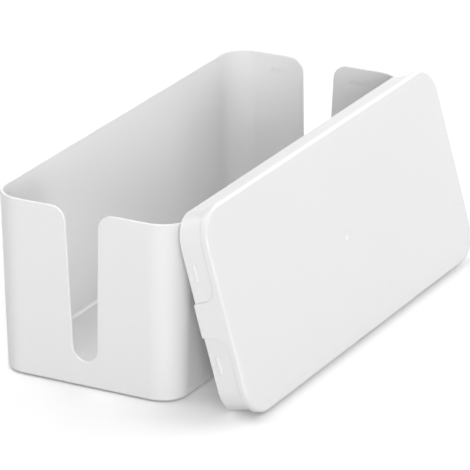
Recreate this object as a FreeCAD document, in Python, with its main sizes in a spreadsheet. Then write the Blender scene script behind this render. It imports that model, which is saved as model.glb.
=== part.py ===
"""Cable management box: a drafted open tub with a cable slot in each end wall, a dished lid
that stands beside it and leans on its rim, and four rubber feet. Lengths are millimetres.
X runs along the box, Y across it and Z up. The origin is on the floor, under the box's centre."""
import FreeCAD, Part
import math
import os
import Sketcher

# Driving sizes. Angles are degrees, the rest are millimetres.
SIZES = {
    # Tub
    "box_length": 384.0,
    "box_width": 157.6,
    "tub_height": 139.6,
    "corner_radius": 24.7,
    "wall": 2.2,
    "floor_thickness": 2.5,
    "wall_draft": 1.72,
    "rim_round": 0.8,
    "rim_round_limit_share": 0.4,
    "underside_round": 2.0,
    "inside_round": 3.0,
    # Cable slot in each end wall
    "slot_foot_width": 20.5,
    "slot_floor": 20.35,
    "slot_taper": 1.95,
    "slot_rim_radius": 12.0,
    # Catch slots inside the end walls, and the lid's nubs that snap into them
    "catch_spacing": 70.6,
    "catch_length": 14.2,
    "catch_height": 3.0,
    "catch_drop": 12.7,
    "catch_recess": 1.2,
    "nub_clearance": 0.4,
    "nub_reach": 0.8,
    # Feet
    "foot_diameter": 14.0,
    "foot_recess": 1.0,
    "foot_standout": 1.1,
    "foot_clearance": 0.15,
    "foot_inset": 20.0,
    "foot_round": 0.5,
    # Lid
    "border_depth": 6.1,
    "lid_depth": 25.2,
    "lid_wall": 2.2,
    "lid_edge_round": 2.2,
    "lid_inside_round": 1.2,
    "skirt_clearance": 0.2,
    "tab_clearance": 0.3,
    "tab_corner_radius": 1.2,
    "tab_core_radius": 2.5,
    "dimple_width": 9.0,
    "dimple_depth": 0.8,
    # How the lid stands beside the box
    "lid_lean": 16.0,
    "lid_shift": 0.7,
    "lean_gap": 0.6,
    # Cuts run past the faces that they open, and edges are found to within the tolerance
    "overrun": 2.0,
    "tolerance": 0.01,
}

doc = FreeCAD.newDocument("cable_box")
sheet = doc.addObject("Spreadsheet::Sheet", "Size")
for row, (alias, value) in enumerate(SIZES.items(), start=1):
    sheet.set(f"A{row}", alias)
    sheet.set(f"B{row}", str(value))
    sheet.setAlias(f"B{row}", alias)
doc.recompute()

# Sizes that several pieces share
SLOT_ROUND_LEVEL = "(Size.slot_floor + Size.slot_foot_width / 2)"
SLOT_HALF_AT_RIM = ("(Size.slot_foot_width / 2 / cos(Size.slot_taper)"
                    f" + (Size.tub_height - {SLOT_ROUND_LEVEL}) * tan(Size.slot_taper))")
RIM_ARC_CENTRE = (f"({SLOT_HALF_AT_RIM} + Size.slot_rim_radius / cos(Size.slot_taper)"
                  " - Size.slot_rim_radius * tan(Size.slot_taper))")
SKIRT_INSET = "(Size.wall + Size.skirt_clearance)"
SKIRT_DEPTH = "(Size.lid_depth - Size.border_depth)"
RIM_ROUND = "min(Size.rim_round; Size.wall * Size.rim_round_limit_share)"
CORE_HALF = (f"({SLOT_HALF_AT_RIM} - {SKIRT_DEPTH} * tan(Size.slot_taper)"
             " - Size.tab_clearance - Size.lid_wall)")

# Each foot's name, and the side of the box that it is on along X and Y
FOOT_CORNERS = {
    "foot_front_left": (-1, -1),
    "foot_front_right": (1, -1),
    "foot_back_right": (1, 1),
    "foot_back_left": (-1, 1),
}


def measure(expression):
    """Gives an expression's value from the sheet."""
    return float(sheet.evalExpression(expression))


def origin_plane(body, role):
    """Finds one of a body's own origin planes."""
    return next(item for item in body.Origin.OriginFeatures if item.Role == role)


def new_sketch(body, name, role, offset="0"):
    """Makes a sketch on an origin plane of its body, moved along the plane's normal."""
    sketch = body.newObject("Sketcher::SketchObject", name)
    sketch.AttachmentSupport = [(origin_plane(body, role), "")]
    sketch.MapMode = "FlatFace"
    sketch.setExpression("AttachmentOffset.Base.z", offset)
    return sketch


def hold(sketch, kind, *places, to=None):
    """Adds a constraint, and ties its value to an expression on the sheet."""
    if to is None:
        sketch.addConstraint(Sketcher.Constraint(kind, *places))
        return
    value = math.radians(measure(to)) if kind == "Angle" else measure(to)
    index = sketch.addConstraint(Sketcher.Constraint(kind, *places, value))
    sketch.setExpression(f"Constraints[{index}]", f"({to}) * 1 deg" if kind == "Angle" else to)


def line(start, end):
    """Makes a straight edge for a sketch."""
    return Part.LineSegment(FreeCAD.Vector(*start, 0), FreeCAD.Vector(*end, 0))


def arc(centre, radius, first, last):
    """Makes an arc for a sketch, anticlockwise from one angle in degrees to another."""
    circle = Part.Circle(FreeCAD.Vector(*centre, 0), FreeCAD.Vector(0, 0, 1), radius)
    return Part.ArcOfCircle(circle, math.radians(first), math.radians(last))


def arc_end(centre, radius, angle):
    """Gives the point of a circle at an angle in degrees."""
    turn = math.radians(angle)
    return centre[0] + radius * math.cos(turn), centre[1] + radius * math.sin(turn)


def rounded_rectangle(body, name, level, length, width, radius):
    """Sketches a rectangle with rounded corners, centred on the Z axis."""
    sketch = new_sketch(body, name, "XY_Plane", level)
    round_radius = measure(radius)
    far = measure(length) / 2 - round_radius
    side = measure(width) / 2 - round_radius
    centres = [(far, -side), (far, side), (-far, side), (-far, -side)]
    for corner, centre in enumerate(centres):
        turn = 90 * corner
        following = centres[(corner + 1) % 4]
        sketch.addGeometry(arc(centre, round_radius, turn - 90, turn))
        sketch.addGeometry(line(arc_end(centre, round_radius, turn),
                                arc_end(following, round_radius, turn)))
    for corner in range(4):
        hold(sketch, "Tangent", 2 * corner, 2, 2 * corner + 1, 1)
        hold(sketch, "Tangent", 2 * corner + 1, 2, (2 * corner + 2) % 8, 1)
    for edge, kind in ((1, "Vertical"), (3, "Horizontal"), (5, "Vertical"), (7, "Horizontal")):
        hold(sketch, kind, edge)
    for corner in (2, 4, 6):
        hold(sketch, "Equal", 0, corner)
    hold(sketch, "Symmetric", 1, 1, 5, 1, -1, 1)
    hold(sketch, "Radius", 0, to=radius)
    hold(sketch, "DistanceX", 5, 1, 1, 1, to=length)
    hold(sketch, "DistanceY", 7, 1, 3, 1, to=width)
    return sketch


def stadium_pair(body, name, offset, level, spacing, length, height):
    """Sketches two level slots with round ends, one each side of the Z axis, on the YZ plane."""
    sketch = new_sketch(body, name, "YZ_Plane", offset)
    radius = measure(height) / 2
    middle = measure(level)
    straight = measure(length) / 2 - radius
    for side in (1, -1):
        first = sketch.GeometryCount
        outer = (side * measure(spacing) / 2 + straight, middle)
        inner = (side * measure(spacing) / 2 - straight, middle)
        sketch.addGeometry(arc(outer, radius, -90, 90))
        sketch.addGeometry(line(arc_end(outer, radius, 90), arc_end(inner, radius, 90)))
        sketch.addGeometry(arc(inner, radius, 90, 270))
        sketch.addGeometry(line(arc_end(inner, radius, -90), arc_end(outer, radius, -90)))
        for step in range(4):
            hold(sketch, "Tangent", first + step, 2, first + (step + 1) % 4, 1)
        hold(sketch, "Equal", first, first + 2)
        hold(sketch, "Horizontal", first + 1)
        hold(sketch, "Radius", first, to=f"{height} / 2")
        hold(sketch, "DistanceX", first + 2, 3, first, 3, to=f"{length} - {height}")
        hold(sketch, "DistanceY", -1, 1, first, 3, to=level)
        hold(sketch, "DistanceX", -1, 1, first, 3,
             to=f"{side} * {spacing} / 2 + {length} / 2 - {height} / 2")
    return sketch


def slot_sketch(body):
    """Sketches the cable slot: a full round foot, tapered sides, and rounded shoulders at the rim."""
    sketch = new_sketch(body, "slot_outline", "YZ_Plane")
    taper = measure("Size.slot_taper")
    top = measure("Size.tub_height")
    above = top + measure("Size.overrun")
    foot_radius = measure("Size.slot_foot_width / 2")
    foot = (0, measure(SLOT_ROUND_LEVEL))
    shoulder_radius = measure("Size.slot_rim_radius")
    reach = measure(RIM_ARC_CENTRE)
    right = (reach, top - shoulder_radius)
    left = (-reach, top - shoulder_radius)
    sketch.addGeometry([
        arc(foot, foot_radius, 180 + taper, 360 - taper),
        line(arc_end(foot, foot_radius, -taper), arc_end(right, shoulder_radius, 180 - taper)),
        arc(right, shoulder_radius, 90, 180 - taper),
        line((reach, top), (reach, above)),
        line((reach, above), (-reach, above)),
        line((-reach, above), (-reach, top)),
        arc(left, shoulder_radius, taper, 90),
        line(arc_end(left, shoulder_radius, taper), arc_end(foot, foot_radius, 180 + taper)),
    ])
    hold(sketch, "Tangent", 0, 2, 1, 1)
    hold(sketch, "Tangent", 1, 2, 2, 2)
    hold(sketch, "Coincident", 2, 1, 3, 1)
    hold(sketch, "Coincident", 3, 2, 4, 1)
    hold(sketch, "Coincident", 4, 2, 5, 1)
    hold(sketch, "Coincident", 5, 2, 6, 2)
    hold(sketch, "Tangent", 6, 1, 7, 1)
    hold(sketch, "Tangent", 7, 2, 0, 1)
    hold(sketch, "Vertical", 3)
    hold(sketch, "Horizontal", 4)
    hold(sketch, "Vertical", 5)
    hold(sketch, "PointOnObject", 0, 3, -2)
    hold(sketch, "Vertical", 2, 1, 2, 3)
    hold(sketch, "Vertical", 6, 2, 6, 3)
    hold(sketch, "Equal", 2, 6)
    hold(sketch, "Symmetric", 2, 1, 6, 2, -2)
    hold(sketch, "Radius", 0, to="Size.slot_foot_width / 2")
    hold(sketch, "DistanceY", -1, 1, 0, 3, to=SLOT_ROUND_LEVEL)
    hold(sketch, "Angle", 1, to="90 - Size.slot_taper")
    hold(sketch, "Radius", 2, to="Size.slot_rim_radius")
    hold(sketch, "DistanceY", -1, 1, 2, 1, to="Size.tub_height")
    hold(sketch, "DistanceY", -1, 1, 3, 2, to="Size.tub_height + Size.overrun")
    return sketch


def tab_sketch(body):
    """Sketches the lid's tab: the slot's own outline, drawn in all round by the tab's clearance."""
    sketch = new_sketch(body, "tab_outline", "YZ_Plane")
    taper = measure("Size.slot_taper")
    seat = -measure("Size.border_depth")
    lip = -measure("Size.lid_depth")
    shoulder_radius = measure("Size.slot_rim_radius + Size.tab_clearance")
    drop = measure("Size.slot_rim_radius")
    reach = measure(RIM_ARC_CENTRE)
    right = (reach, seat - drop)
    left = (-reach, seat - drop)
    seat_angle = 180 - math.degrees(math.asin(drop / shoulder_radius))
    corner_radius = measure("Size.tab_corner_radius")
    side_foot = arc_end(right, shoulder_radius, 180 - taper)
    lean = math.tan(math.radians(taper))
    side_at_lip = side_foot[0] - (side_foot[1] - lip) * lean
    inward = corner_radius / math.cos(math.radians(taper)) + corner_radius * lean
    corner_reach = side_at_lip + 2 * corner_radius * lean - inward
    right_corner = (corner_reach, lip + corner_radius)
    left_corner = (-corner_reach, lip + corner_radius)
    sketch.addGeometry([
        line(arc_end(right, shoulder_radius, seat_angle), arc_end(left, shoulder_radius, 180 - seat_angle)),
        arc(left, shoulder_radius, taper, 180 - seat_angle),
        line(arc_end(left, shoulder_radius, taper), arc_end(left_corner, corner_radius, 180 + taper)),
        arc(left_corner, corner_radius, 180 + taper, 270),
        line((-corner_reach, lip), (corner_reach, lip)),
        arc(right_corner, corner_radius, 270, 360 - taper),
        line(arc_end(right_corner, corner_radius, -taper), side_foot),
        arc(right, shoulder_radius, seat_angle, 180 - taper),
    ])
    hold(sketch, "Coincident", 0, 2, 1, 2)
    hold(sketch, "Tangent", 1, 1, 2, 1)
    hold(sketch, "Tangent", 2, 2, 3, 1)
    hold(sketch, "Tangent", 3, 2, 4, 1)
    hold(sketch, "Tangent", 4, 2, 5, 1)
    hold(sketch, "Tangent", 5, 2, 6, 1)
    hold(sketch, "Tangent", 6, 2, 7, 2)
    hold(sketch, "Coincident", 7, 1, 0, 1)
    hold(sketch, "Horizontal", 0)
    hold(sketch, "Horizontal", 4)
    hold(sketch, "Equal", 1, 7)
    hold(sketch, "Equal", 3, 5)
    hold(sketch, "Equal", 2, 6)
    hold(sketch, "Symmetric", 1, 3, 7, 3, -2)
    hold(sketch, "DistanceY", 0, 1, -1, 1, to="Size.border_depth")
    hold(sketch, "DistanceY", 4, 1, -1, 1, to="Size.lid_depth")
    hold(sketch, "DistanceX", -1, 1, 7, 3, to=RIM_ARC_CENTRE)
    hold(sketch, "DistanceY", 7, 3, -1, 1, to="Size.border_depth + Size.slot_rim_radius")
    hold(sketch, "Radius", 7, to="Size.slot_rim_radius + Size.tab_clearance")
    hold(sketch, "Angle", 6, to="90 - Size.slot_taper")
    hold(sketch, "Radius", 5, to="Size.tab_corner_radius")
    return sketch


def extrude(body, kind, name, sketch, length, reversed_way=False, taper=None):
    """Pads or pockets a sketch by a length, with draft where the walls have it."""
    feature = body.newObject(f"PartDesign::{kind}", name)
    feature.Profile = sketch
    feature.Reversed = reversed_way
    feature.setExpression("Length", length)
    if taper is not None:
        feature.setExpression("TaperAngle", taper)
    sketch.Visibility = False
    doc.recompute()
    return feature


def across(body, kind, name, sketch, length):
    """Pads or pockets a sketch both ways from its plane."""
    feature = extrude(body, kind, name, sketch, length)
    feature.SideType = "Symmetric"
    doc.recompute()
    return feature


def mirror_ends(body, name, feature):
    """Repeats a feature at the other end of its body."""
    mirrored = body.newObject("PartDesign::Mirrored", name)
    mirrored.Originals = [feature]
    mirrored.MirrorPlane = (origin_plane(body, "YZ_Plane"), [""])
    body.Tip = mirrored
    doc.recompute()
    return mirrored


def fillet(body, name, radius, chosen):
    """Rounds the edges of the body's last feature that a test chooses."""
    base = body.Tip
    picked = [f"Edge{number}" for number, edge in enumerate(base.Shape.Edges, start=1) if chosen(edge)]
    feature = body.newObject("PartDesign::Fillet", name)
    feature.Base = (base, picked)
    feature.setExpression("Radius", radius)
    doc.recompute()
    return feature


def at_level(edge, level):
    """Says whether an edge lies at one height all along."""
    near = measure("Size.tolerance")
    return abs(edge.BoundBox.ZMin - level) < near and abs(edge.BoundBox.ZMax - level) < near


def through_wall(edge):
    """Says whether an edge runs straight along X, as the seams across a wall do."""
    near = measure("Size.tolerance")
    return edge.BoundBox.YLength < near and edge.BoundBox.ZLength < near


def foot_place(side, extent):
    """Gives a foot's distance from the box's middle along one side of the underside."""
    return (f"{side} * (Size.{extent} / 2 - Size.tub_height * tan(Size.wall_draft)"
            " - Size.foot_inset)")


def make_tub():
    """Moulds the tub: drafted walls, a slot in each end, catch slots and foot recesses."""
    body = doc.addObject("PartDesign::Body", "tub")
    rim = rounded_rectangle(body, "rim_outline", "Size.tub_height",
                            "Size.box_length", "Size.box_width", "Size.corner_radius")
    extrude(body, "Pad", "outside", rim, "Size.tub_height", True, "-Size.wall_draft")
    fillet(body, "underside_edge", "Size.underside_round", lambda edge: at_level(edge, 0))

    mouth = rounded_rectangle(body, "mouth_outline", "Size.tub_height",
                              "Size.box_length - 2 * Size.wall", "Size.box_width - 2 * Size.wall",
                              "Size.corner_radius - Size.wall")
    extrude(body, "Pocket", "inside", mouth, "Size.tub_height - Size.floor_thickness",
            taper="-Size.wall_draft")
    floor_level = measure("Size.floor_thickness")
    fillet(body, "inside_edge", "Size.inside_round", lambda edge: at_level(edge, floor_level))

    across(body, "Pocket", "cable_slots", slot_sketch(body), "Size.box_length + Size.overrun")
    rim_level = measure("Size.tub_height")
    slot_reach = measure(RIM_ARC_CENTRE)
    slot_foot = measure("Size.slot_floor")
    near = measure("Size.tolerance")

    def on_rim_or_slot(edge):
        if through_wall(edge):
            return False
        box = edge.BoundBox
        in_slot = abs(box.YMin) < slot_reach + near and abs(box.YMax) < slot_reach + near
        return at_level(edge, rim_level) or (in_slot and box.ZMin > slot_foot - near)

    fillet(body, "rim_and_slot_edges", RIM_ROUND, on_rim_or_slot)

    catch = stadium_pair(body, "catch_outline", "Size.box_length / 2 - Size.wall - Size.overrun",
                         "Size.tub_height - Size.catch_drop", "Size.catch_spacing",
                         "Size.catch_length", "Size.catch_height")
    cut = extrude(body, "Pocket", "catch_slots", catch, "Size.overrun + Size.catch_recess", True)
    mirror_ends(body, "catch_slots_other_end", cut)

    recess = new_sketch(body, "foot_places", "XY_Plane")
    for index, (x_sign, y_sign) in enumerate(FOOT_CORNERS.values()):
        place = (measure(foot_place(x_sign, "box_length")), measure(foot_place(y_sign, "box_width")))
        radius = measure("Size.foot_diameter / 2")
        recess.addGeometry(Part.Circle(FreeCAD.Vector(*place, 0), FreeCAD.Vector(0, 0, 1), radius))
        hold(recess, "Radius", index, to="Size.foot_diameter / 2")
        hold(recess, "DistanceX", -1, 1, index, 3, to=foot_place(x_sign, "box_length"))
        hold(recess, "DistanceY", -1, 1, index, 3, to=foot_place(y_sign, "box_width"))
    extrude(body, "Pocket", "foot_recesses", recess, "Size.foot_recess", True)
    body.setExpression("Placement.Base.z", "Size.foot_standout")
    return body


def make_foot(name, x_sign, y_sign):
    """Makes one rubber foot: a disc with a rounded lower edge, stuck in its recess."""
    body = doc.addObject("PartDesign::Body", name)
    sketch = new_sketch(body, f"{name}_outline", "XY_Plane")
    radius = "Size.foot_diameter / 2 - Size.foot_clearance"
    disc = Part.Circle(FreeCAD.Vector(0, 0, 0), FreeCAD.Vector(0, 0, 1), measure(radius))
    sketch.addGeometry(disc)
    hold(sketch, "Coincident", 0, 3, -1, 1)
    hold(sketch, "Radius", 0, to=radius)
    extrude(body, "Pad", f"{name}_disc", sketch, "Size.foot_standout + Size.foot_recess")
    fillet(body, f"{name}_edge", "Size.foot_round", lambda edge: at_level(edge, 0))
    body.setExpression("Placement.Base.x", foot_place(x_sign, "box_length"))
    body.setExpression("Placement.Base.y", foot_place(y_sign, "box_width"))
    return body


def make_lid():
    """Moulds the lid, top face at Z zero: border, skirt, end tabs, hollow, nubs and dimple."""
    body = doc.addObject("PartDesign::Body", "lid")
    border = rounded_rectangle(body, "border_outline", "0",
                               "Size.box_length", "Size.box_width", "Size.corner_radius")
    extrude(body, "Pad", "border", border, "Size.border_depth", True)
    skirt = rounded_rectangle(body, "skirt_outline", "-Size.border_depth",
                              f"Size.box_length - 2 * {SKIRT_INSET}", f"Size.box_width - 2 * {SKIRT_INSET}",
                              f"Size.corner_radius - {SKIRT_INSET}")
    extrude(body, "Pad", "skirt", skirt, SKIRT_DEPTH, True, "-Size.wall_draft")
    across(body, "Pad", "tabs", tab_sketch(body), "Size.box_length")
    fillet(body, "top_edge", "Size.lid_edge_round", lambda edge: at_level(edge, 0))

    skirt_shrink = f"({SKIRT_DEPTH} * tan(Size.wall_draft))"
    inset = f"({SKIRT_INSET} + {skirt_shrink} + Size.lid_wall)"
    hollow = rounded_rectangle(body, "hollow_outline", "-Size.lid_depth",
                               f"Size.box_length - 2 * {inset}", f"Size.box_width - 2 * {inset}",
                               f"Size.corner_radius - {inset}")
    extrude(body, "Pocket", "hollow", hollow, "Size.lid_depth - Size.lid_wall", True,
            "-Size.wall_draft")
    core = rounded_rectangle(body, "tab_core_outline", "-Size.lid_depth",
                             "Size.box_length - 2 * Size.lid_wall", f"2 * {CORE_HALF}",
                             "Size.tab_core_radius")
    extrude(body, "Pocket", "tab_cores", core, "Size.lid_depth - Size.lid_wall", True)
    ceiling = -measure("Size.lid_wall")
    fillet(body, "hollow_edge", "Size.lid_inside_round", lambda edge: at_level(edge, ceiling))

    root = f"Size.box_length / 2 - {SKIRT_INSET} - Size.lid_wall / 2"
    nub = stadium_pair(body, "nub_outline", root, "-Size.border_depth - Size.catch_drop",
                       "Size.catch_spacing", "Size.catch_length - 2 * Size.nub_clearance",
                       "Size.catch_height - 2 * Size.nub_clearance")
    raised = extrude(body, "Pad", "nubs", nub, "Size.lid_wall / 2 + Size.nub_reach")
    mirror_ends(body, "nubs_other_end", raised)

    dimple = new_sketch(body, "dimple_outline", "XZ_Plane")
    half = measure("Size.dimple_width / 2")
    depth = measure("Size.dimple_depth")
    radius = (half * half + depth * depth) / (2 * depth)
    spread = math.degrees(math.asin(half / radius))
    centre = (0, radius - depth)
    dimple.addGeometry([
        arc(centre, radius, 270, 270 + spread),
        line((half, 0), (0, 0)),
        line((0, 0), (0, -depth)),
    ])
    hold(dimple, "Coincident", 0, 2, 1, 1)
    hold(dimple, "Coincident", 1, 2, 2, 1)
    hold(dimple, "Coincident", 2, 2, 0, 1)
    hold(dimple, "Coincident", 1, 2, -1, 1)
    hold(dimple, "Horizontal", 1)
    hold(dimple, "Vertical", 2)
    hold(dimple, "PointOnObject", 0, 3, -2)
    hold(dimple, "DistanceX", 1, 2, 1, 1, to="Size.dimple_width / 2")
    hold(dimple, "DistanceY", 2, 2, 2, 1, to="Size.dimple_depth")
    groove = body.newObject("PartDesign::Groove", "dimple")
    groove.Profile = dimple
    groove.ReferenceAxis = (dimple, ["V_Axis"])
    groove.Angle = 360
    doc.recompute()
    return body


def stand_lid(lid, tub):
    """Stands the lid on its lower lip, finds where it meets the tub and draws it back by the gap."""
    turn = FreeCAD.Rotation(FreeCAD.Vector(1, 0, 0), 90 - measure("Size.lid_lean"))
    lid.Placement = FreeCAD.Placement(FreeCAD.Vector(0, 0, 0), turn)
    doc.recompute()
    lowest = lid.Shape.optimalBoundingBox(False, False).ZMin
    place = FreeCAD.Vector(-measure("Size.lid_shift"), 0, -lowest)
    clear, blocked = -measure("Size.box_width"), 0.0
    while blocked - clear > measure("Size.tolerance"):
        place.y = (clear + blocked) / 2
        lid.Placement = FreeCAD.Placement(place, turn)
        if lid.Shape.common(tub.Shape).Volume > 0:
            blocked = place.y
        else:
            clear = place.y
    place.y = clear - measure("Size.lean_gap")
    lid.Placement = FreeCAD.Placement(place, turn)
    doc.recompute()


def check(pieces):
    """Stops the build if any object failed, or any piece isn't one valid solid."""
    for item in doc.Objects:
        if {"Invalid", "Error"} & set(item.State):
            raise RuntimeError(f"{item.Name} failed: {item.State}")
    for piece in pieces:
        shape = piece.Shape
        if shape.isNull() or not shape.isValid() or len(shape.Solids) != 1:
            raise RuntimeError(f"{piece.Label} isn't one valid solid")


tub_body = make_tub()
feet = [make_foot(name, *signs) for name, signs in FOOT_CORNERS.items()]
lid_body = make_lid()
doc.recompute()
stand_lid(lid_body, tub_body)
pieces = [tub_body, lid_body, *feet]
check(pieces)
os.makedirs("parts", exist_ok=True)
for piece in pieces:
    piece.Shape.exportStep(os.path.join("parts", f"{piece.Label}.step"))
    box = piece.Shape.optimalBoundingBox(False, False)
    print(f"{piece.Label}: {piece.Shape.Volume:.0f} mm3, X {box.XMin:.2f} to {box.XMax:.2f}, "
          f"Y {box.YMin:.2f} to {box.YMax:.2f}, Z {box.ZMin:.2f} to {box.ZMax:.2f}")
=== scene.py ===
from collections import namedtuple
from math import asin, atan, cos, radians, sin, tan

import bmesh
import bpy
from mathutils import Matrix, Vector
from mathutils.geometry import tessellate_polygon


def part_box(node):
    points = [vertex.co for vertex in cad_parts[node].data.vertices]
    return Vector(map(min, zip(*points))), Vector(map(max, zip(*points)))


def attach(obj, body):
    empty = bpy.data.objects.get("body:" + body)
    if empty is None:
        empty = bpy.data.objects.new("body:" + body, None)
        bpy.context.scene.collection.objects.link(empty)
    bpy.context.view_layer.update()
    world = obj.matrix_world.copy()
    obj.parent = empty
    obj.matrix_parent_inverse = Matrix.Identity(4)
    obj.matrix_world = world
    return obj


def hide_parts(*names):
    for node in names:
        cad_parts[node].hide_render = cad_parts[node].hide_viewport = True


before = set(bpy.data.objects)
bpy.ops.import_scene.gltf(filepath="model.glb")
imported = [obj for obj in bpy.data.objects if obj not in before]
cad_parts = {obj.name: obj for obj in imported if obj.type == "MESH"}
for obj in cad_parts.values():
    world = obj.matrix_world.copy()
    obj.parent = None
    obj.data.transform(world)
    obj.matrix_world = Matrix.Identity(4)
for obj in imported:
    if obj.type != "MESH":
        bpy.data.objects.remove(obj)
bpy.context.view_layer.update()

# Tub: the open box, one moulding of white satin plastic. Its thin walls lean outwards, so that it
# leaves the mould, each end wall has a cable slot that is open at the rim, and the rim is rounded
# all the way round, down into the slots. Lengths are millimetres until a mesh is made.
MM = 0.001
box_length = 384.0
box_width = 157.6
corner_radius = 24.7
wall = 2.2
floor_thickness = 2.5
wall_draft = tan(radians(1.72))
rim_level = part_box("tub")[1].z / MM
underside_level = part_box("tub")[0].z / MM
rim_round = 0.8
underside_round = 2.0
inside_round = 3.0
slot_foot_radius = 10.25
slot_floor = 20.35
slot_taper = radians(1.95)
slot_rim_radius = 12.0
catch_spacing = 70.6
catch_length = 14.2
catch_height = 3.0
catch_drop = 12.7
catch_recess = 1.2
catch_lip_round = 0.25
foot_recess_radius = 7.0
foot_recess = 1.0
corner_steps = 24
round_steps = 6
fine_round_steps = 3
shoulder_steps = 14
slot_foot_steps = 32
circle_steps = 48
stadium_steps = 4
crease_angle = radians(34)

slot_foot_level = underside_level + slot_floor + slot_foot_radius
slot_half_at_rim = slot_foot_radius / cos(slot_taper) + (rim_level - slot_foot_level) * tan(slot_taper)
shoulder_across = slot_half_at_rim + slot_rim_radius * (1 / cos(slot_taper) - tan(slot_taper))
core = Vector((box_length / 2 - corner_radius, box_width / 2 - corner_radius))

# A stop on a walk round an edge: the middle of its corner, the way out from there, its level, which way
# the edge faces (along the side, and up), and whether it lies on a corner.
Stop = namedtuple("Stop", "centre out level side up corner")


class Skin:
    """A closed surface in the making: rings of points, bands between rings, and flat faces."""

    def __init__(self):
        self.points = []
        self.faces = []

    def ring(self, points):
        """Adds points and gives their numbers."""
        start = len(self.points)
        self.points.extend(Vector(point) for point in points)
        return list(range(start, len(self.points)))

    def band(self, first, second, closed=True):
        """Joins two rings with as many points by four-sided faces."""
        pairs = list(zip(first, second))
        turns = zip(pairs, pairs[1:] + pairs[:1] if closed else pairs[1:])
        self.faces.extend((a, c, d, b) for (a, b), (c, d) in turns)

    def flat(self, outline, *holes):
        """Fills a flat outline, and leaves its holes open."""
        if not holes:
            self.faces.append(tuple(outline))
            return
        loops = [outline, *holes]
        numbers = [number for loop in loops for number in loop]
        corners = tessellate_polygon([[self.points[number] for number in loop] for loop in loops])
        self.faces.extend(tuple(numbers[corner] for corner in face) for face in corners)

    def sink(self, loops):
        """Joins loops one below the other and closes the last one, for a blind hole."""
        rings = [self.ring(loop) for loop in loops]
        for upper, lower in zip(rings, rings[1:]):
            self.band(upper, lower)
        self.flat(rings[-1])
        return rings[0]

    def make(self, name, material, placing=None):
        """Makes the mesh in metres, with smooth rounds and true flats, and puts it in its place."""
        mesh = bpy.data.meshes.new(name)
        mesh.from_pydata([point * MM for point in self.points], [], self.faces)
        mesh.transform(placing or Matrix())
        shape = bmesh.new()
        shape.from_mesh(mesh)
        bmesh.ops.recalc_face_normals(shape, faces=shape.faces)
        shape.to_mesh(mesh)
        shape.free()
        mesh.shade_smooth()
        mesh.set_sharp_from_angle(angle=crease_angle)
        mesh.materials.append(material)
        return true_flats(name, mesh)


def true_flats(name, mesh):
    """Shades a mesh so that its flat faces stay flat up to where their rounds begin."""
    rough = bpy.data.objects.new(name, mesh)
    bpy.context.scene.collection.objects.link(rough)
    weighting = rough.modifiers.new("true flats", "WEIGHTED_NORMAL")
    weighting.keep_sharp = True
    graph = bpy.context.evaluated_depsgraph_get()
    finished = bpy.data.meshes.new_from_object(rough.evaluated_get(graph), depsgraph=graph)
    rough.modifiers.clear()
    rough.data = finished
    finished.name = name
    return rough


def run_of_arc(centre, radius, start, end, steps, facing=1):
    """Gives an arc on an end wall as (across, level, side, up). Facing 1 looks away from its centre."""
    run = []
    for step in range(steps + 1):
        turn = start + (end - start) * step / steps
        side, up = cos(turn), sin(turn)
        run.append((centre[0] + radius * side, centre[1] + radius * up, side * facing, up * facing))
    return run


def mirrored(run):
    """Gives a run over again, seen in the end wall's middle."""
    return [(-across, level, -side, up) for across, level, side, up in reversed(run)]


def walk_round(level, up, end_run):
    """Walks once round the box, with the given run at the middle of each end wall."""
    stops = []
    for quarter, signs in enumerate(((1, 1), (-1, 1), (-1, -1), (1, -1))):
        centre = Vector((core.x * signs[0], core.y * signs[1]))
        for step in range(corner_steps + 1):
            turn = radians(90 * (quarter + step / corner_steps))
            stops.append(Stop(centre, Vector((cos(turn), sin(turn))), level, 0, up, True))
        if quarter % 2:
            out = Vector((-1, 0)) if quarter == 1 else Vector((1, 0))
            along = Vector((-out.y, out.x))
            for across, height, side, face_up in end_run:
                stops.append(Stop(out * core.x + along * across, out, height, side, face_up, False))
    return stops


def place(stop, offset, inset_at):
    """Gives the point that is offset from the edge at a stop, set in from the box's outline."""
    level = stop.level - stop.up * offset
    along = Vector((-stop.out.y, stop.out.x))
    spot = stop.centre - along * stop.side * offset + stop.out * (corner_radius - inset_at(level))
    return spot.x, spot.y, level


def below_wall_face(depth):
    """Gives how far a wall is set in at any level, at a depth below its outer face."""
    return lambda level: (rim_level - level) * wall_draft + depth


def rounding(radius, steps=round_steps):
    """Gives a quarter round as pairs: how far from the edge, how far below the face."""
    turns = [radians(90 * step / steps) for step in range(steps + 1)]
    return [(radius * (1 - sin(turn)), radius * (1 - cos(turn))) for turn in turns]


def wall_foot(stops, level, radius, depth):
    """Gives the rings of the round where a wall meets a level face below it."""
    centre_level = level + radius
    tilt = atan(wall_draft)
    rings = []
    for step in range(round_steps + 1):
        turn = tilt + (radians(90) - tilt) * step / round_steps
        inset = (rim_level - centre_level) * wall_draft + depth
        reach = inset + radius / cos(tilt) - radius * cos(turn)
        height = centre_level - radius * sin(turn)
        rings.append([(*(stop.centre + stop.out * (corner_radius - reach)), height) for stop in stops])
    return rings


def circle(radius, level, middle=Vector((0, 0))):
    """Gives a level circle about a middle."""
    turns = [radians(360 * step / circle_steps) for step in range(circle_steps)]
    return [(middle.x + radius * cos(turn), middle.y + radius * sin(turn), level) for turn in turns]


def stadium(half_length, half_height, grow):
    """Gives an outline with round ends, grown on all sides."""
    points = []
    for side in (1, -1):
        for step in range(2 * stadium_steps + 1):
            turn = radians(90 * step / stadium_steps - 90)
            across = half_length - half_height + (half_height + grow) * cos(turn)
            points.append((side * across, side * (half_height + grow) * sin(turn)))
    return points


def between(ring, start, end):
    """Gives the part of a closed ring from one place to another, both counted in."""
    return ring[start:end + 1] if end >= start else ring[start:] + ring[:end + 1]


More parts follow.
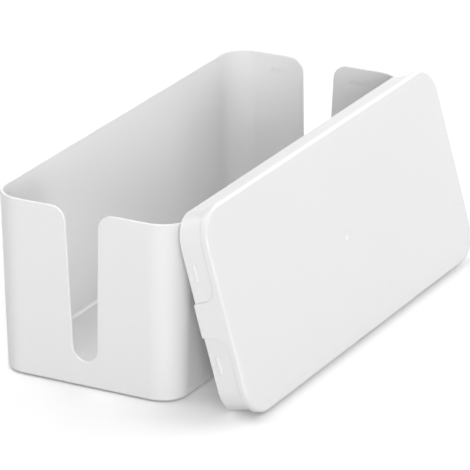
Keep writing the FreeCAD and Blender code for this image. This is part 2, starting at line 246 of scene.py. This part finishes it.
def join_sides(skin, stops, ring, plain, holes=None):
    """Joins a ring that follows the end runs to one that goes straight past them: columns at the
    corners, and one flat face for each side."""
    at_corner = [number for number, stop in enumerate(stops) if stop.corner]
    for quarter in range(4):
        first = quarter * (corner_steps + 1)
        last = first + corner_steps
        following = (last + 1) % len(plain)
        corner = between(ring, at_corner[first], at_corner[last])
        skin.band(corner, plain[first:last + 1], closed=False)
        side = between(ring, at_corner[last], at_corner[following])
        skin.flat([*side, plain[following], plain[last]], *(holes or {}).get(quarter, ()))


def skin_of_wall(skin, stops, ring, depth, foot_level, foot_round, holes=None):
    """Runs a wall's skin from its ring at the rim down to the round at its foot. Gives the last ring."""
    corners = [stop for stop in stops if stop.corner]
    lower = [skin.ring(points) for points in wall_foot(corners, foot_level, foot_round, depth)]
    for upper_ring, lower_ring in zip(lower, lower[1:]):
        skin.band(upper_ring, lower_ring)
    join_sides(skin, stops, ring, lower[0], holes)
    return lower[-1]


def catch_holes(skin, end):
    """Sinks the two snap slots into the inner face of one end wall."""
    holes = []
    steps = [*rounding(catch_lip_round, fine_round_steps), (0, catch_recess)]
    for side in (-1, 1):
        loops = []
        for grow, sunk in steps:
            loop = []
            for across, up in stadium(catch_length / 2, catch_height / 2, grow):
                level = rim_level - catch_drop + up
                inset = below_wall_face(wall - sunk)(level)
                loop.append((end * (box_length / 2 - inset), side * catch_spacing / 2 + across, level))
            loops.append(loop)
        holes.append(skin.sink(loops))
    return holes


def slot_run():
    """Gives the edge of a cable slot: round shoulder, leaning side, round foot and back up."""
    shoulder = run_of_arc((-shoulder_across, rim_level - slot_rim_radius), slot_rim_radius,
                          radians(90), slot_taper, shoulder_steps)
    foot = run_of_arc((0, slot_foot_level), slot_foot_radius,
                      radians(180) + slot_taper, radians(360) - slot_taper, slot_foot_steps, facing=-1)
    return [*shoulder, *foot, *mirrored(shoulder)]


class Wire:
    """A value in a node tree. Sums and products of wires add Math nodes, and node() adds any other."""

    def __init__(self, tree, socket=None):
        self.tree = tree
        self.socket = socket

    def node(self, kind, settings=None, inputs=None, output=0):
        """Adds a node: its settings first, then the values or wires of its inputs."""
        added = self.tree.nodes.new(kind)
        for name, value in (settings or {}).items():
            setattr(added, name, value)
        for name, value in (inputs or {}).items():
            socket = self.find(added.inputs, name)
            if isinstance(value, Wire):
                self.tree.links.new(value.socket, socket)
            else:
                socket.default_value = value
        return None if output is None else Wire(self.tree, self.find(added.outputs, output))

    @staticmethod
    def find(sockets, name):
        """Finds a socket by its number, its name or its identifier."""
        if isinstance(name, int):
            return sockets[name]
        return next(socket for socket in sockets if name in (socket.identifier, socket.name))

    def maths(self, operation, first, second):
        return self.node("ShaderNodeMath", {"operation": operation}, {0: first, 1: second})

    def __add__(self, other):
        return self.maths("ADD", self, other)

    def __radd__(self, other):
        return self.maths("ADD", other, self)

    def __mul__(self, other):
        return self.maths("MULTIPLY", self, other)

    def __rmul__(self, other):
        return self.maths("MULTIPLY", other, self)


def moulded_plastic(name, dark, light, seed):
    """White plastic out of a spark-eroded mould: a fine even grain, and slow drifts in tone and gloss.
    Patterns are given by how many repeats go into a metre, and the seed moves them along."""
    drifts, grains, pits_across = 9, 1900, 1300
    bump_strength, bump_height = 0.12, 0.00004
    roughness, roughness_change = 0.26, 0.04
    material = bpy.data.materials.new(name)
    material.use_nodes = True
    tree = material.node_tree
    shader = tree.nodes["Principled BSDF"]
    start = Wire(tree)
    spot = start.node("ShaderNodeTexCoord", output="Object")
    spot = start.node("ShaderNodeMapping", None, {"Vector": spot, "Location": (seed, seed / 2, 0)})
    drift = start.node("ShaderNodeTexNoise", None, {"Vector": spot, "Scale": drifts, "Detail": 2})
    grain = start.node("ShaderNodeTexNoise", None, {"Vector": spot, "Scale": grains, "Detail": 2})
    pits = start.node("ShaderNodeTexVoronoi", None, {"Vector": spot, "Scale": pits_across})
    tone = start.node("ShaderNodeMix", {"data_type": "RGBA"},
                      {"Factor_Float": drift * 0.8 + grain * 0.2, "A_Color": dark, "B_Color": light},
                      "Result_Color")
    height = grain * 0.7 + pits * 0.3
    bump = start.node("ShaderNodeBump", None, {
        "Strength": bump_strength, "Distance": bump_height, "Height": height})
    tree.links.new(tone.socket, shader.inputs["Base Color"])
    satin = roughness + drift * roughness_change + grain * roughness_change
    tree.links.new(satin.socket, shader.inputs["Roughness"])
    tree.links.new(bump.socket, shader.inputs["Normal"])
    shader.inputs["IOR"].default_value = 1.49
    shader.inputs["Specular IOR Level"].default_value = 0.5
    return material


plastic_dark, plastic_light = (0.79, 0.79, 0.79, 1), (0.81, 0.81, 0.81, 1)
tub_plastic = moulded_plastic("tub_plastic", plastic_dark, plastic_light, seed=0.3)
tub_skin = Skin()
rim_stops = walk_round(rim_level, 1, slot_run())
outer_round = rounding(rim_round)
inner_round = [(offset, wall - depth) for offset, depth in reversed(outer_round)]
rim_rings = [tub_skin.ring(place(stop, offset, below_wall_face(depth)) for stop in rim_stops)
             for offset, depth in outer_round + inner_round]
for outer, inner in zip(rim_rings, rim_rings[1:]):
    tub_skin.band(outer, inner)
underside = skin_of_wall(tub_skin, rim_stops, rim_rings[0], 0, underside_level, underside_round)
end_holes = {1: catch_holes(tub_skin, -1), 3: catch_holes(tub_skin, 1)}
inside_floor = skin_of_wall(tub_skin, rim_stops, rim_rings[-1], wall,
                            underside_level + floor_thickness, inside_round, end_holes)
tub_skin.flat(inside_floor)

foot_names = ("foot_front_left", "foot_front_right", "foot_back_right", "foot_back_left")
foot_places = [sum(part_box(name), Vector()) / 2 / MM for name in foot_names]
foot_recesses = [tub_skin.sink([circle(foot_recess_radius, level, spot)
                                for level in (underside_level, underside_level + foot_recess)])
                 for spot in foot_places]
tub_skin.flat(underside, *foot_recesses)

tub = tub_skin.make("tub_moulding", tub_plastic)
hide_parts("tub")
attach(tub, "box")

# Feet: four thin discs of grey rubber, stuck into round recesses in the tub's underside. They are
# cut alike, so one is shaped and set out at the four corners.
foot_radius = 6.85
foot_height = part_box(foot_names[0])[1].z / MM
foot_round = 0.5


def four_places():
    """Makes the tree that sets a shape out at the corners of a rectangle."""
    tree = bpy.data.node_groups.new("four_places", "GeometryNodeTree")
    tree.is_modifier = True
    tree.interface.new_socket("Shape", in_out="INPUT", socket_type="NodeSocketGeometry")
    for name in ("Spacing along", "Spacing across", "Level"):
        tree.interface.new_socket(name, in_out="INPUT", socket_type="NodeSocketFloat")
    tree.interface.new_socket("Material", in_out="INPUT", socket_type="NodeSocketMaterial")
    tree.interface.new_socket("Set", in_out="OUTPUT", socket_type="NodeSocketGeometry")
    given = Wire(tree).node("NodeGroupInput", output="Shape")
    sizes = {name: Wire(tree, Wire.find(given.socket.node.outputs, name))
             for name in ("Spacing along", "Spacing across", "Level", "Material")}
    corners = given.node("GeometryNodeMeshGrid", None, {
        "Size X": sizes["Spacing along"], "Size Y": sizes["Spacing across"],
        "Vertices X": 2, "Vertices Y": 2})
    raised = given.node("ShaderNodeCombineXYZ", None, {"Z": sizes["Level"]})
    corners = given.node("GeometryNodeTransform", None, {"Geometry": corners, "Translation": raised})
    copies = given.node("GeometryNodeInstanceOnPoints", None, {"Points": corners, "Instance": given})
    real = given.node("GeometryNodeRealizeInstances", None, {"Geometry": copies})
    real = given.node("GeometryNodeSetMaterial", None, {"Geometry": real, "Material": sizes["Material"]})
    given.node("NodeGroupOutput", None, {"Set": real}, output=None)
    return tree


def set_out(piece, tree, **sizes):
    """Sets a piece's mesh out by the tree, and makes the result its plain mesh."""
    modifier = piece.modifiers.new("set out", "NODES")
    modifier.node_group = tree
    for socket in tree.interface.items_tree:
        if socket.in_out == "INPUT" and socket.name in sizes:
            modifier[socket.identifier] = sizes[socket.name]
    graph = bpy.context.evaluated_depsgraph_get()
    finished = bpy.data.meshes.new_from_object(piece.evaluated_get(graph), depsgraph=graph)
    piece.modifiers.clear()
    piece.data = finished


rubber_dark, rubber_light = (0.16, 0.16, 0.16, 1), (0.24, 0.24, 0.24, 1)
rubber_blooms, rubber_specks = 250, 3000
rubber_bump_strength, rubber_bump_height = 0.3, 0.00003
rubber_roughness, rubber_roughness_change = 0.7, 0.2
rubber = bpy.data.materials.new("foot_rubber")
rubber.use_nodes = True
rubber_tree = rubber.node_tree
rubber_shader = rubber_tree.nodes["Principled BSDF"]
rubber_place = Wire(rubber_tree).node("ShaderNodeTexCoord", output="Object")
bloom = rubber_place.node("ShaderNodeTexNoise", None, {
    "Vector": rubber_place, "Scale": rubber_blooms, "Detail": 3})
specks = rubber_place.node("ShaderNodeTexNoise", None, {
    "Vector": rubber_place, "Scale": rubber_specks, "Detail": 1})
rubber_tone = bloom.node("ShaderNodeMix", {"data_type": "RGBA"}, {
    "Factor_Float": bloom * 0.7 + specks * 0.3, "A_Color": rubber_dark, "B_Color": rubber_light},
    "Result_Color")
rubber_bump = specks.node("ShaderNodeBump", None, {
    "Strength": rubber_bump_strength, "Distance": rubber_bump_height, "Height": specks})
rubber_tree.links.new(rubber_tone.socket, rubber_shader.inputs["Base Color"])
rubber_dullness = rubber_roughness + bloom * rubber_roughness_change
rubber_tree.links.new(rubber_dullness.socket, rubber_shader.inputs["Roughness"])
rubber_tree.links.new(rubber_bump.socket, rubber_shader.inputs["Normal"])
foot_skin = Skin()
foot_rings = [foot_skin.ring(circle(foot_radius - away, under))
              for away, under in [*rounding(foot_round), (0, foot_height)]]
for lower, upper in zip(foot_rings, foot_rings[1:]):
    foot_skin.band(lower, upper)
foot_skin.flat(foot_rings[0])
foot_skin.flat(foot_rings[-1])
feet = foot_skin.make("rubber_feet", rubber)
corner_tree = four_places()
set_out(feet, corner_tree, **{
    "Spacing along": 2 * abs(foot_places[0].x) * MM, "Spacing across": 2 * abs(foot_places[0].y) * MM,
    "Level": 0.0, "Material": rubber})
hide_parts(*foot_names)
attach(feet, "box")

# Lid: a dished cover, one moulding of the same white plastic. Its border sits on the tub's rim, its
# skirt goes inside the walls, and a tab at each end closes the top of the cable slot. It is shaped
# lying flat, with its face at level zero, then stood on its lower lip so that it leans on the tub.
border_level = -6.1
lip_level = -25.2
lid_wall = 2.2
lid_edge_round = 2.2
lid_inside_round = 1.2
border_edge_round = 0.5
skirt_clearance = 0.2
tab_clearance = 0.3
tab_corner_radius = 1.2
tab_core_radius = 2.5
nub_clearance = 0.4
nub_reach = 0.8
nub_round = 0.6
dimple_radius = 4.5
dimple_depth = 0.8
lid_lean = radians(16)
tab_shoulder_steps = 12
tab_corner_steps = 6


def tab_run():
    """Gives the edge of a tab: the cable slot's own outline, drawn in by the clearance."""
    radius = slot_rim_radius + tab_clearance
    middle = Vector((-shoulder_across, border_level - slot_rim_radius))
    shoulder = run_of_arc(middle, radius, asin(slot_rim_radius / radius), slot_taper,
                          tab_shoulder_steps, facing=-1)
    across, level, side, face_up = shoulder[0]
    shoulder[0] = (across, level, side / (1 - face_up), -1)
    corner_level = lip_level + tab_corner_radius
    side_across = middle.x + radius / cos(slot_taper) + (middle.y - corner_level) * tan(slot_taper)
    corner_middle = (side_across + tab_corner_radius / cos(slot_taper), corner_level)
    corner = run_of_arc(corner_middle, tab_corner_radius,
                        radians(180) + slot_taper, radians(270), tab_corner_steps)
    return [*shoulder, *corner, *mirrored(corner), *mirrored(shoulder)]


def skirt_inset(level):
    """Gives how far the skirt's outer face is set in from the border at a level."""
    return wall + skirt_clearance + (border_level - level) * wall_draft


def hollow_loop(level, shrink):
    """Gives the hollow's outline at a level, with the core of each tab, drawn in by a round."""
    inset = skirt_inset(lip_level) + lid_wall + (level - lip_level) * wall_draft + shrink
    half = slot_half_at_rim - (border_level - lip_level) * tan(slot_taper) - tab_clearance - lid_wall
    corner_out = box_length / 2 - lid_wall - tab_core_radius
    points = []
    for quarter, signs in enumerate(((1, 1), (-1, 1), (-1, -1), (1, -1))):
        for step in range(corner_steps + 1):
            turn = radians(90 * (quarter + step / corner_steps))
            out = Vector((cos(turn), sin(turn)))
            points.append((core.x * signs[0] + out.x * (corner_radius - inset),
                           core.y * signs[1] + out.y * (corner_radius - inset), level))
        if quarter % 2:
            end = -1 if quarter == 1 else 1
            run = [(box_length / 2 - inset, shrink - half)]
            for step in range(tab_corner_steps + 1):
                turn = radians(90 * step / tab_corner_steps)
                reach = tab_core_radius - shrink
                run.append((corner_out + reach * sin(turn), tab_core_radius - half - reach * cos(turn)))
            run += [(out, -across) for out, across in reversed(run)]
            points += [(end * out, end * across, level) for out, across in run]
    return points


lid_plastic = moulded_plastic("lid_plastic", plastic_dark, plastic_light, seed=1.7)
lid_skin = Skin()
lid_stops = walk_round(border_level, -1, tab_run())
plain_stops = walk_round(0, 0, ())
top_rings = [lid_skin.ring((*(stop.centre + stop.out * (corner_radius - away)), -under)
                           for stop in plain_stops) for away, under in rounding(lid_edge_round)]
for upper, lower in zip(top_rings, top_rings[1:]):
    lid_skin.band(upper, lower)
border_rings = [lid_skin.ring(place(stop, offset, lambda level: inset) for stop in lid_stops)
                for offset, inset in rounding(border_edge_round, fine_round_steps)]
for upper, lower in zip(border_rings, border_rings[1:]):
    lid_skin.band(upper, lower)
join_sides(lid_skin, lid_stops, border_rings[0], top_rings[-1])

root = lid_skin.ring(place(stop, 0, skirt_inset) for stop in lid_stops)
lip = lid_skin.ring((*(stop.centre + stop.out * (corner_radius - skirt_inset(lip_level))), lip_level)
                    for stop in plain_stops)
# Each tab's edge meets the lip at two stops, first at the left end of the box and then at the right.
on_lip = [number for number, stop in enumerate(lid_stops) if abs(stop.level - lip_level) < MM]
left_tab, right_tab = on_lip[:2], on_lip[2:]
corner_ends = [number for number, stop in enumerate(lid_stops) if stop.corner][::corner_steps + 1]
per_corner = corner_steps + 1
outer_lip = []
for quarter in range(4):
    first, last = quarter * per_corner, quarter * per_corner + corner_steps
    following = (last + 1) % len(lip)
    start = corner_ends[quarter]
    end = start + corner_steps
    lid_skin.band(root[start:end + 1], lip[first:last + 1], closed=False)
    outer_lip += lip[first:last + 1]
    if quarter % 2:
        low, high = left_tab if quarter == 1 else right_tab
        lid_skin.flat([*root[end:low + 1], lip[last]])
        lid_skin.flat([*between(root, high, corner_ends[(quarter + 1) % 4]), lip[following]])
        outer_lip += [root[low], border_rings[-1][low], border_rings[-1][high], root[high]]
    else:
        lid_skin.flat([root[end], root[corner_ends[quarter + 1]], lip[following], lip[last]])
for start, end in ((right_tab[1], left_tab[0]), (left_tab[1], right_tab[0])):
    lid_skin.band(between(border_rings[-1], start, end), between(root, start, end), closed=False)

hollow_steps = [(lip_level, 0)]
hollow_steps += [(-lid_wall - away, under) for away, under in rounding(lid_inside_round)]
hollow = [lid_skin.ring(hollow_loop(level, shrink)) for level, shrink in hollow_steps]
for lower, upper in zip(hollow, hollow[1:]):
    lid_skin.band(lower, upper)
lid_skin.flat(hollow[-1])
lid_skin.flat(outer_lip, hollow[0])
dimple_curve = (dimple_radius ** 2 + dimple_depth ** 2) / (2 * dimple_depth)
dimple_rings = [dimple_radius * share for share in (1, 0.9, 0.75, 0.6, 0.4, 0.2)]
dimple = lid_skin.sink([
    circle(radius, dimple_curve - dimple_depth - (dimple_curve ** 2 - radius ** 2) ** 0.5)
    for radius in dimple_rings])
lid_skin.flat(top_rings[0], dimple)

stand_up = Matrix.Rotation(radians(90) - lid_lean, 3, "X")
stood = [stand_up @ point for point in lid_skin.points]
stood_middle = Vector([(min(spot) + max(spot)) / 2 for spot in zip(*stood)])
lid_middle = sum(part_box("lid"), Vector()) / 2
lid_place = Matrix.Translation(lid_middle - stood_middle * MM) @ stand_up.to_4x4()
lid = lid_skin.make("lid_moulding", lid_plastic, lid_place)
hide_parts("lid")
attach(lid, "lid")

# Snap nubs: four low bars moulded on the ends of the lid's skirt, level with the slots inside the tub's
# end walls. They are alike, so one is shaped and set out by the same tree as the feet.
nub_level = border_level - catch_drop
nub_thickness = lid_wall / 2 + nub_reach
nub_outside = box_length / 2 - wall - skirt_clearance + nub_reach
nub_skin = Skin()
nub_half_length, nub_half_height = catch_length / 2 - nub_clearance, catch_height / 2 - nub_clearance
nub_steps = [(-away, nub_thickness / 2 - under) for away, under in rounding(nub_round, fine_round_steps)]
nub_steps += [(grow, -out) for grow, out in reversed(nub_steps)]
nub_rings = [nub_skin.ring((out, across, up)
                           for across, up in stadium(nub_half_length, nub_half_height, grow))
             for grow, out in nub_steps]
for inner, outer in zip(nub_rings, nub_rings[1:]):
    nub_skin.band(inner, outer)
nub_skin.flat(nub_rings[0])
nub_skin.flat(nub_rings[-1])
nubs = nub_skin.make("lid_snap_nubs", lid_plastic)
set_out(nubs, corner_tree, **{
    "Spacing along": (2 * nub_outside - nub_thickness) * MM,
    "Spacing across": catch_spacing * MM,
    "Level": nub_level * MM, "Material": lid_plastic})
nubs.data.transform(lid_place)
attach(nubs, "lid")

# Floor: a plain pale sheet of paper that the box and its lid stand on. It takes their shadows, and to
# the camera and in reflections it is white where no shadow falls.
floor_half = 6.0
paper_mottles = 30
paper_roughness = 0.9
black, white = (0, 0, 0, 1), (1, 1, 1, 1)
paper_dark, paper_light = (0.49, 0.49, 0.49, 1), (0.51, 0.51, 0.51, 1)
faint_glow = (0.1, 0.1, 0.1, 1)


def seen_directly(tree):
    """Gives one to the camera and in reflections, and nought to light that bounces."""
    rays = Wire(tree).node("ShaderNodeLightPath", output="Is Camera Ray")
    glossy = Wire(tree, rays.socket.node.outputs["Is Glossy Ray"])
    through = Wire(tree, rays.socket.node.outputs["Is Transmission Ray"])
    return rays.node("ShaderNodeClamp", None, {"Value": rays + glossy + through})


floor_paper = bpy.data.materials.new("floor_paper")
floor_paper.use_nodes = True
paper_tree = floor_paper.node_tree
paper = paper_tree.nodes["Principled BSDF"]
paper_place = Wire(paper_tree).node("ShaderNodeTexCoord", output="Object")
mottle = paper_place.node("ShaderNodeTexNoise", None, {
    "Vector": paper_place, "Scale": paper_mottles, "Detail": 4})
sight = seen_directly(paper_tree)
paper_tone = sight.node("ShaderNodeMix", {"data_type": "RGBA"}, {
    "Factor_Float": mottle, "A_Color": paper_dark, "B_Color": paper_light}, "Result_Color")
paper_colour = sight.node("ShaderNodeMix", {"data_type": "RGBA"}, {
    "Factor_Float": sight, "A_Color": paper_tone, "B_Color": white}, "Result_Color")
paper_glow = sight.node("ShaderNodeMix", {"data_type": "RGBA"}, {
    "Factor_Float": sight, "A_Color": black, "B_Color": faint_glow}, "Result_Color")
paper_tree.links.new(paper_colour.socket, paper.inputs["Base Color"])
paper_tree.links.new(paper_glow.socket, paper.inputs["Emission Color"])
paper.inputs["Emission Strength"].default_value = 1
paper.inputs["Roughness"].default_value = paper_roughness
paper.inputs["Specular IOR Level"].default_value = 0
floor_mesh = bpy.data.meshes.new("floor")
floor_corners = [(x * floor_half, y * floor_half, 0) for x, y in ((-1, -1), (1, -1), (1, 1), (-1, 1))]
floor_mesh.from_pydata(floor_corners, [], [(0, 1, 2, 3)])
floor_mesh.materials.append(floor_paper)
floor = bpy.data.objects.new("floor", floor_mesh)
bpy.context.scene.collection.objects.link(floor)

# Camera: a long lens, about three metres away. Its place comes from fitting the box's and the lid's edges to
# the photograph's frame, and is given by where the origin, the box's middle on the floor, is seen.
picture_side = 470
focal_pixels = 4219.23
sensor_width = 36.0
camera_turn, camera_rise, camera_roll = radians(-62.2983), radians(21.0807), radians(0.1715)
origin_pixel = (205.966, 303.722)
origin_depth = 3.26021
far_clip = 30
back = Vector((sin(camera_turn) * cos(camera_rise), -cos(camera_turn) * cos(camera_rise),
               sin(camera_rise)))
level_right = Vector((cos(camera_turn), sin(camera_turn), 0))
plumb_up = back.cross(level_right)
right = level_right * cos(camera_roll) + plumb_up * sin(camera_roll)
up = plumb_up * cos(camera_roll) - level_right * sin(camera_roll)
metres_per_pixel = origin_depth / focal_pixels
across = (origin_pixel[0] - picture_side / 2) * metres_per_pixel
down = (origin_pixel[1] - picture_side / 2) * metres_per_pixel
centre = back * origin_depth - right * across + up * down
camera = bpy.data.objects.new("camera", bpy.data.cameras.new("camera"))
bpy.context.scene.collection.objects.link(camera)
camera.data.sensor_width = sensor_width
camera.data.lens = focal_pixels * sensor_width / picture_side
camera.data.clip_end = far_clip
camera.matrix_world = Matrix.Translation(centre) @ Matrix((right, up, back)).transposed().to_4x4()
bpy.context.scene.camera = camera

bpy.context.scene.view_settings.view_transform = "Standard"

# Light: wide soft lamps round the box, and a white surround that only the camera and reflections see.
# Each lamp has its turn from the front, its rise above the floor and its spread, in degrees, and then
# its strength.
lamps = (("front_low", 300, 2, 30, 3.0), ("front_high", 300, 35, 40, 0.84),
         ("right_low", 75, 15, 50, 1.19), ("right", 45, 35, 50, 0.99),
         ("back_right", 105, 30, 50, 0.76), ("back", 180, 60, 50, 1.59))
for name, turn, rise, spread, strength in lamps:
    lamp = bpy.data.objects.new(name + "_lamp", bpy.data.lights.new(name + "_lamp", "SUN"))
    lamp.data.energy = strength
    lamp.data.angle = radians(spread)
    turn, rise = radians(turn), radians(rise)
    towards = Vector((sin(turn) * cos(rise), -cos(turn) * cos(rise), sin(rise)))
    lamp.matrix_world = towards.to_track_quat("Z", "Y").to_matrix().to_4x4()
    bpy.context.scene.collection.objects.link(lamp)

world = bpy.data.worlds.new("studio")
bpy.context.scene.world = world
world.use_nodes = True
surround = world.node_tree.nodes["Background"]
surround.inputs["Color"].default_value = white
world.node_tree.links.new(seen_directly(world.node_tree).socket, surround.inputs["Strength"])
